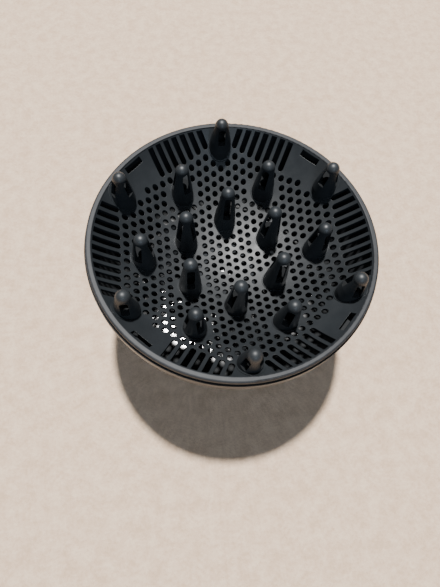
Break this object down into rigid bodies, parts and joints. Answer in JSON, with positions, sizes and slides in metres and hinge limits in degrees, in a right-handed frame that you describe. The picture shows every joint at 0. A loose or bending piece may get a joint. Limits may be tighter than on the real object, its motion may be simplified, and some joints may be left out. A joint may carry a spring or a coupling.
{
  "type": "hair dryer diffuser",
  "caption": "push-on hair dryer diffuser: round bowl grille with rings of hollow fingers, a deep flat-backed shell and a round neck with a soft grip ring",
  "frame": {"origin": "centre of the flat end of the neck, on the axis of the bowl and the neck; the part stands on z = 0 with the bowl facing up", "axes": "+Z along the axis, out of the bowl; +Y along one straight row of fingers; +X between two outer fingers; right-handed"},
  "size_m": [0.166, 0.166, 0.1209],
  "materials": {
    "grille_plastic": "fine textured dark grey moulding",
    "finger_plastic": "satin black moulding",
    "shell_plastic": "satin dark grey moulding",
    "deflector_plastic": "smooth glossy dark grey moulding",
    "grip_rubber": "matt black elastomer",
    "collar_plastic": "fine textured near-black moulding"
  },
  "bodies": {
    "root": {"front_grille": "grille_plastic", "rear_shell": "shell_plastic", "air_deflector": "deflector_plastic", "grip_ring": "grip_rubber", "retaining_collar": "collar_plastic", "finger_inner_1": "finger_plastic", "finger_inner_2": "finger_plastic", "finger_inner_3": "finger_plastic", "finger_inner_4": "finger_plastic", "finger_inner_5": "finger_plastic", "finger_inner_6": "finger_plastic", "finger_middle_1": "finger_plastic", "finger_middle_2": "finger_plastic", "finger_middle_3": "finger_plastic", "finger_middle_4": "finger_plastic", "finger_middle_5": "finger_plastic", "finger_middle_6": "finger_plastic", "finger_outer_1": "finger_plastic", "finger_outer_2": "finger_plastic", "finger_outer_3": "finger_plastic", "finger_outer_4": "finger_plastic", "finger_outer_5": "finger_plastic", "finger_outer_6": "finger_plastic"}
  },
  "joints": []
}
